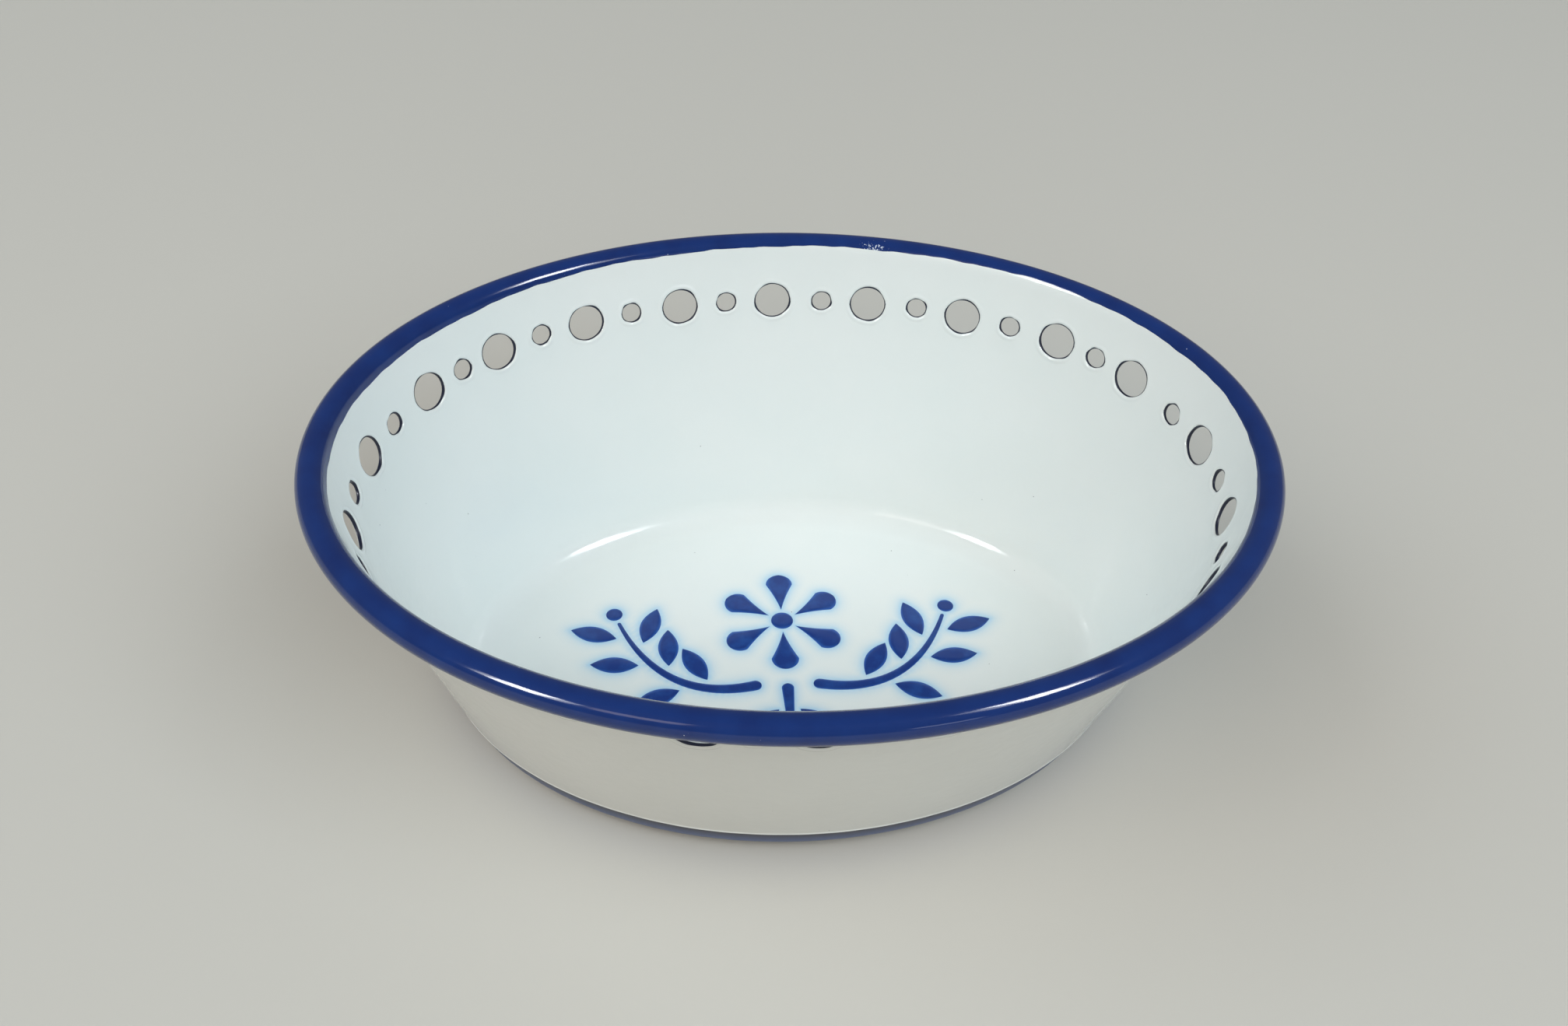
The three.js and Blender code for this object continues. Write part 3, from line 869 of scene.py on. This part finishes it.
def patches(tree, place, width, one, other, detail):
    """Patches of two colours that run into each other, of a width in millimetres."""
    cloud = add_node(
        tree, "ShaderNodeTexNoise", {"Vector": place, "Scale": per_metre(width), "Detail": detail}
    )
    mixed = add_node(
        tree,
        "ShaderNodeMix",
        {MIX_SHARE: cloud.outputs["Fac"], MIX_FIRST: linear(one), MIX_SECOND: linear(other)},
        data_type="RGBA",
    )
    return mixed.outputs[MIX_COLOUR]


def spots(tree, place, spacing, radius):
    """A share that is 1 in the middle of small round spots and 0 between them."""
    cells = add_node(tree, "ShaderNodeTexVoronoi", {"Vector": place, "Scale": per_metre(spacing)})
    edge = radius / spacing
    spot = add_node(
        tree,
        "ShaderNodeMapRange",
        {"Value": cells.outputs["Distance"], "From Min": edge, "From Max": edge * SPOT_CORE},
    )
    return spot.outputs["Result"]


def by_height(tree, place, start, end):
    """A share that goes from 0 at one height to 1 at another, in millimetres."""
    height = add_node(tree, "ShaderNodeSeparateXYZ", {"Vector": place})
    share = add_node(
        tree,
        "ShaderNodeMapRange",
        {"Value": height.outputs["Z"], "From Min": start * MM, "From Max": end * MM},
    )
    return share.outputs["Result"]


def fired_glass(tree, colour, roughness, **sockets):
    """Ends a material in smooth glass of a colour."""
    inputs = {"Base Color": colour, "Roughness": roughness, "IOR": ENAMEL_IOR, **sockets}
    shader = add_node(tree, "ShaderNodeBsdfPrincipled", inputs)
    add_node(tree, "ShaderNodeOutputMaterial", {"Surface": shader.outputs["BSDF"]})


# %% [markdown]
# ### White cover enamel
# Titanium-white vitreous enamel, sprayed on and fired to a glassy skin. To the eye it is a cool
# white with a sharp gloss, a faint orange peel and a rare dark pinhole. The inside and the outside
# differ in colour only, so they share the steps that come after it.

# %% Steps of white enamel
WHITE_CLOUD = 38  # width of the thicker and thinner patches, in millimetres like the rest
WHITE_PEEL = 3.5  # width of the orange peel's dimples
PEEL_DEPTH = 0.04
PINHOLE_SPACING = 9
PINHOLE = 0.2  # radius of the largest pinholes


def fired_white(tree, place, coat):
    """Pricks pinholes into the colour of a coat and ends it in glass with an orange peel."""
    pinholed = add_node(
        tree,
        "ShaderNodeMix",
        {
            MIX_SHARE: spots(tree, place, PINHOLE_SPACING, PINHOLE),
            MIX_FIRST: coat.outputs[MIX_COLOUR],
            MIX_SECOND: linear("#3a4050"),
        },
        data_type="RGBA",
    )
    peel = add_node(
        tree, "ShaderNodeTexNoise", {"Vector": place, "Scale": per_metre(WHITE_PEEL), "Detail": 1.0}
    )
    dimples = add_node(tree, "ShaderNodeBump", {"Height": peel.outputs["Fac"], "Distance": PEEL_DEPTH * MM})
    fired_glass(tree, pinholed.outputs[MIX_COLOUR], FIRED_ROUGHNESS, Normal=dimples.outputs["Normal"])


# %% [markdown]
# ### The white inside
# Inside, the white was sprayed twice and covers the dark ground fully. The painted sprig bled a
# little into it, which shows as a pale blue halo round each stroke.

# %% White lining enamel
HALO_SHARE = 0.85  # how blue the white gets right beside a stroke

lining_material, tree, place = new_material("white_vitreous_enamel")
bled = add_node(tree, "ShaderNodeAttribute", {}, attribute_name="bleed")
halo = add_node(
    tree,
    "ShaderNodeMapRange",
    {"Value": bled.outputs["Fac"], "From Min": BLEED_FAINT, "From Max": 1.0, "To Max": HALO_SHARE},
)
stained = add_node(
    tree,
    "ShaderNodeMix",
    {
        MIX_SHARE: halo.outputs["Result"],
        MIX_FIRST: patches(tree, place, WHITE_CLOUD, "#e6eeec", "#eff3f1", detail=3.0),
        MIX_SECOND: linear("#96cdee"),
    },
    data_type="RGBA",
)
fired_white(tree, place, stained)
lining_piece.data.materials.append(lining_material)
print("white enamel on", lining_piece.name)

# %% [markdown]
# ### The white outside
# Outside there is a single coat. The dark ground dims it a little, so it is a greyer white, and it
# is painted darker and warmer still: painted shade on the wall that faces down, and a painted
# reflection of the paper. Along its swollen foot a near-white band is a painted highlight.

# %% White outer enamel
FOOT_HIGHLIGHT = 1.3  # height above the foot band up to which the painted highlight of the swollen edge reaches

outer_material, tree, place = new_material("thin_white_vitreous_enamel")
# A white painted greyer and warmer for shade and the paper's reflection, with a painted highlight at the
# foot.
outer_white_and_highlight = add_node(
    tree,
    "ShaderNodeMix",
    {
        MIX_SHARE: by_height(tree, place, FOOT_BAND + FOOT_HIGHLIGHT, FOOT_BAND + FOOT_HIGHLIGHT / 2),
        MIX_FIRST: patches(tree, place, WHITE_CLOUD, "#d3d4ce", "#dbdcd7", detail=3.0),
        MIX_SECOND: linear("#eff3f1"),
    },
    data_type="RGBA",
)
fired_white(tree, place, outer_white_and_highlight)
outer_piece.data.materials.append(outer_material)
print("thin white enamel on", outer_piece.name)

# %% [markdown]
# ### Cobalt edging enamel
# Glass stained deep blue with cobalt oxide and brushed over the white rim. To the eye it is a deep
# navy, a little brighter where the brush left less of it, with a sharp gloss and tiny white specks
# where it is chipped through to the white. At the back the brush ran dry, and a patch of white shows
# through in flecks.

# %% Edging enamel
EDGING_CLOUD = 9  # width of the patches that the brush left
SPECK_SPACING = 4.5
SPECK = 0.16  # radius of the largest specks
DRY_AT = (31, 90.6, 92.4)  # middle of the patch where the brush ran dry
DRY_REACH = 9  # from its middle, across the rim
DRY_SPREAD = (0.35, 1, 1)  # the patch is longer along the rim than across it
FLECK = 0.6  # width of its flecks
FLECK_FROM, FLECK_TO = 0.5, 0.54  # values of the noise between which a fleck comes in

edging_material, tree, place = new_material("cobalt_edging_enamel")
squeezed = add_node(tree, "ShaderNodeVectorMath", {0: place, 1: Vector(DRY_SPREAD)}, operation="MULTIPLY")
away = add_node(
    tree,
    "ShaderNodeVectorMath",
    {0: squeezed.outputs["Vector"], 1: Vector(DRY_AT) * Vector(DRY_SPREAD) * MM},
    operation="DISTANCE",
)
dryness = add_node(
    tree,
    "ShaderNodeMapRange",
    {"Value": away.outputs["Value"], "From Max": DRY_REACH * MM, "To Min": 1.0, "To Max": 0.0},
)
flecks = add_node(tree, "ShaderNodeTexNoise", {"Vector": place, "Scale": per_metre(FLECK), "Detail": 3.0})
dry = add_node(
    tree,
    "ShaderNodeMath",
    {0: dryness.outputs["Result"], 1: flecks.outputs["Fac"]},
    operation="MULTIPLY",
)
bare = add_node(
    tree,
    "ShaderNodeMapRange",
    {"Value": dry.outputs["Value"], "From Min": FLECK_FROM, "From Max": FLECK_TO},
)
chipped = add_node(
    tree,
    "ShaderNodeMath",
    {0: spots(tree, place, SPECK_SPACING, SPECK), 1: bare.outputs["Result"]},
    operation="MAXIMUM",
)
colour = add_node(
    tree,
    "ShaderNodeMix",
    {
        MIX_SHARE: chipped.outputs["Value"],
        MIX_FIRST: patches(tree, place, EDGING_CLOUD, "#07215c", "#0f3579", detail=4.0),
        MIX_SECOND: linear("#c9d4e6"),
    },
    data_type="RGBA",
)
fired_glass(tree, colour.outputs[MIX_COLOUR], FIRED_ROUGHNESS)
edging_piece.data.materials.append(edging_material)
print("cobalt edging on", edging_piece.name)

# %% [markdown]
# ### Cobalt painting enamel
# The same cobalt glass, thinned with oil and painted on the fired white. To the eye it is a softer
# blue than the rim: dark where a stroke is thick and paler along its edges, where the white below
# shines through. The strokes are modelled as low cushions, so their height gives the thickness.

# %% Painting enamel
DEEP_FROM = 0.8  # share of a stroke's height from which it is darkest
WASH_CLOUD = 5  # width of the patches where the paint ran together
WASH_FROM, WASH_TO = 0.45, 0.75  # values of the noise between which a patch comes in
WASH_SHARE = 0.5  # how much of the wash's own blue a patch gets
PAINT_ROUGHNESS = 0.12

paint_material, tree, place = new_material("cobalt_painting_enamel")
stroke = add_node(
    tree,
    "ShaderNodeMix",
    {
        MIX_SHARE: by_height(tree, place, floor_top + PAINT_BOND, floor_top + DEEP_FROM * STROKE),
        MIX_FIRST: linear("#2e60b2"),
        MIX_SECOND: linear("#0f3580"),
    },
    data_type="RGBA",
)
wash = add_node(
    tree, "ShaderNodeTexNoise", {"Vector": place, "Scale": per_metre(WASH_CLOUD), "Detail": 3.0}
)
washed = add_node(
    tree,
    "ShaderNodeMapRange",
    {"Value": wash.outputs["Fac"], "From Min": WASH_FROM, "From Max": WASH_TO, "To Max": WASH_SHARE},
)
colour = add_node(
    tree,
    "ShaderNodeMix",
    {
        MIX_SHARE: washed.outputs["Result"],
        MIX_FIRST: stroke.outputs[MIX_COLOUR],
        MIX_SECOND: linear("#2258a6"),
    },
    data_type="RGBA",
)
fired_glass(tree, colour.outputs[MIX_COLOUR], PAINT_ROUGHNESS)
for piece in painted:
    piece.data.materials.append(paint_material)
print("painting enamel on", len(painted), "strokes")

# %% [markdown]
# ### Dark ground enamel
# The first coat on the steel, dipped and fired. Cobalt and nickel oxides make it grip, and they
# also make it a dark slate blue. Round the foot it is painted paler and bluer, with a fine mottle:
# a painted reflection of the pale paper in the glossy foot. Use has dulled the gloss. Along the
# edge that the bowl stands on it is painted dark again: painted contact shadow.

# %% Ground enamel
SHEEN_TO, SHEEN_FROM = 7, 11.5  # heights between which the painted reflection of the paper turns to the dark ground
SHADE_TO, SHADE_FROM = 3, 5  # heights between which the painted contact shadow turns to the painted reflection
MOTTLE = 1.6  # width of the spots in the mottle
GROUND_ROUGHNESS = 0.35

ground_material, tree, place = new_material("dark_ground_enamel")
# Dark ground above, a painted reflection of the paper lower down, and painted contact shadow at the bottom.
above_sheen = by_height(tree, place, SHEEN_TO, SHEEN_FROM)
contact_shade = by_height(tree, place, SHADE_FROM, SHADE_TO)
dark = add_node(tree, "ShaderNodeMath", {0: above_sheen, 1: contact_shade}, operation="MAXIMUM")
colour = add_node(
    tree,
    "ShaderNodeMix",
    {
        MIX_SHARE: dark.outputs["Value"],
        MIX_FIRST: patches(tree, place, MOTTLE, "#354772", "#4b5f8e", detail=4.0),
        MIX_SECOND: linear("#171d33"),
    },
    data_type="RGBA",
)
fired_glass(tree, colour.outputs[MIX_COLOUR], GROUND_ROUGHNESS)
body_piece.data.materials.append(ground_material)
print("ground enamel on", body_piece.name)

# %% [markdown]
# ## Floor
# The bowl stands on a plain sheet of uncoated paper, pale and matt to the eye. It is marked as stage,
# so that it isn't taken for part of the bowl. One flat face is enough, wide enough for every view.

# %% Floor
FLOOR_SIZE = 12.0  # metres
FLOOR_DROP = 0.02 * MM  # keeps the floor from sharing a plane with the underside
PAPER_ROUGHNESS = 0.9
floor_mesh = bpy.data.meshes.new("floor")
corner = FLOOR_SIZE / 2
floor_corners = ((-corner, -corner), (corner, -corner), (corner, corner), (-corner, corner))
floor_mesh.from_pydata([(x, y, -FLOOR_DROP) for x, y in floor_corners], [], [(0, 1, 2, 3)])
floor = bpy.data.objects.new("floor", floor_mesh)
bpy.context.scene.collection.objects.link(floor)
floor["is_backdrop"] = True

paper, tree, _ = new_material("pale_uncoated_paper")
shader = add_node(
    tree, "ShaderNodeBsdfPrincipled", {"Base Color": linear("#cdcbc3"), "Roughness": PAPER_ROUGHNESS}
)
add_node(tree, "ShaderNodeOutputMaterial", {"Surface": shader.outputs["BSDF"]})
floor_mesh.materials.append(paper)
print(f"floor of {FLOOR_SIZE} m")

# %% [markdown]
# ## Lights
# Four large soft panels stand high at the left and right and give the light. A dimmer one low in
# front adds a little. What the gloss mirrors can be read off the highlights: narrow bright strips at
# the left and right. So the panels are kept out of the gloss, and the strips give no light but what
# is mirrored.

# %% Lights
PANEL_AWAY = 4.0  # metres from the bowl to each panel, far enough to light the floor evenly
STRIP_AWAY = 1.3  # metres


def soft_panel(away, name, azimuth, elevation, across, tall, radiance, colour):
    """A panel of light that faces the bowl, placed and sized by angles in degrees as seen from it.
    The azimuth is counted from the back towards +X."""
    turn, rise = math.radians(azimuth), math.radians(elevation)
    towards = Vector((math.sin(turn) * math.cos(rise), math.cos(turn) * math.cos(rise), math.sin(rise)))
    data = bpy.data.lights.new(name, "AREA")
    data.shape = "RECTANGLE"
    data.size = 2 * away * math.tan(math.radians(across / 2))
    data.size_y = 2 * away * math.tan(math.radians(tall / 2))
    data.energy = radiance * math.pi * data.size * data.size_y
    data.color = linear(colour)[:3]
    panel = bpy.data.objects.new(name, data)
    panel.location = towards * away
    panel.rotation_euler = towards.to_track_quat("Z", "Y").to_euler()
    bpy.context.scene.collection.objects.link(panel)
    print(f"{name}: {data.size:.2f} by {data.size_y:.2f} m, {data.energy:.1f} W")
    return panel


# Name, azimuth, elevation, width, height, radiance and colour.
PANELS = (
    ("left_side_panel", -90, 45, 40, 40, 2.25, "#e3f3ff"),
    ("left_front_panel", -140, 48, 40, 40, 2.05, "#ffe8d0"),
    ("right_side_panel", 90, 45, 40, 40, 0.6, "#ffffff"),
    ("right_front_panel", 140, 48, 40, 40, 3.4, "#e9f6ff"),
    ("low_front_panel", 180, 20, 60, 20, 0.5, "#ffffff"),
)
STRIPS = (
    ("left_strip", -129, 36, 9, 15, 24, "#fbfdff"),
    ("left_glow", -129.5, 36, 17, 12, 6, "#fbfdff"),
    ("dim_left_strip", -152, 38, 14, 12, 2.2, "#fff0ea"),
    ("right_strip", 127.5, 48, 10, 16, 24, "#fbfdff"),
    ("right_glow", 129, 48, 20, 12, 4, "#fbfdff"),
    ("dim_right_strip", 156, 11, 11, 6, 2.2, "#eef4ff"),
)
for panel in PANELS:
    soft_panel(PANEL_AWAY, *panel).visible_glossy = False
for strip in STRIPS:
    soft_panel(STRIP_AWAY, *strip).visible_diffuse = False

# %% [markdown]
# ## Room
# A pale room lies beyond the floor. It lights the bowl faintly and is brighter where the camera sees
# it or the gloss mirrors it, so low views have no dark background. Light Path tells the rays apart.

# %% Room
ROOM_LIGHT = 0.1
ROOM_SEEN = 0.25  # as the camera sees it and the gloss mirrors it
world = bpy.data.worlds.new("room")
bpy.context.scene.world = world
world.use_nodes = True
room = world.node_tree
path = add_node(room, "ShaderNodeLightPath", {})
seen = path.outputs["Is Camera Ray"]
for kind in ("Is Glossy Ray", "Is Transmission Ray"):
    either = add_node(room, "ShaderNodeMath", {0: seen, 1: path.outputs[kind]}, operation="MAXIMUM")
    seen = either.outputs["Value"]
strength = add_node(room, "ShaderNodeMapRange", {"Value": seen, "To Min": ROOM_LIGHT, "To Max": ROOM_SEEN})
background = room.nodes["Background"]
background.inputs["Color"].default_value = linear("#f4f7fa")
room.links.new(strength.outputs["Result"], background.inputs["Strength"])
bpy.context.scene.view_settings.view_transform = "Standard"
print(f"room: light {ROOM_LIGHT}, seen at {ROOM_SEEN}")

# %% [markdown]
# ## Finish
# How much the dressed bowl's box grows over the box of the imported solids is printed. It should
# be a small part of a millimetre, since every layer was drawn from the same section.

# %% Write the sizes and finish
visual_low, visual_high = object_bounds()
growth = (visual_high - visual_low) - (cad_high - cad_low)
print("visual box grows by", [round(side / MM, 3) for side in growth], "mm")
